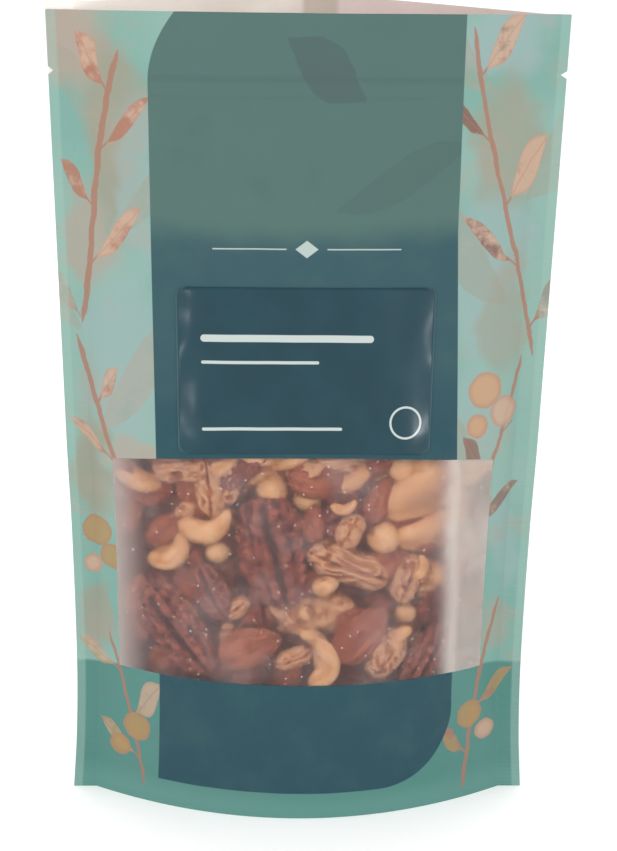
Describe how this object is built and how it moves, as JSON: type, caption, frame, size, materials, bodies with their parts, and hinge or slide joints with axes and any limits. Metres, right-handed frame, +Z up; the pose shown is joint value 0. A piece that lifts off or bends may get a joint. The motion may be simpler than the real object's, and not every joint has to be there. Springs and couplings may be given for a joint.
{
  "type": "stand-up pouch of mixed nuts",
  "caption": "Open matte stand-up pouch of mixed nuts, with a frosted window across its front, a blank sticker above it, tear notches, a press-to-close strip and a bottom gusset.",
  "frame": {"origin": "middle of the gusset's flat underside, on the surface that the pouch stands on, in the plane of the side seals", "axes": "+X to the right along the pouch's width as its printed front is faced, +Y towards the back, +Z up"},
  "size_m": [0.16, 0.0567, 0.2614],
  "materials": {
    "printed_film": "matte printed laminate in mint, sage and terracotta with a dark green panel; the inside is a pale pinkish cream",
    "gusset_film": "matte printed laminate in mint and teal",
    "frosted_film": "frosted see-through film, milky where it stands off the nuts",
    "sticker": "smooth dark green sticker, soft gloss",
    "zip_strip": "translucent off-white press-to-close strip",
    "nuts": "raw mixed nuts: brown skins and pale cream kernels, dry and slightly waxy"
  },
  "bodies": {
    "root": {"front_panel": "printed_film", "back_panel": "printed_film", "bottom_gusset": "gusset_film", "window": "frosted_film", "label": "sticker", "zipper_front": "zip_strip", "zipper_back": "zip_strip", "nut_mix": "nuts"}
  },
  "joints": []
}
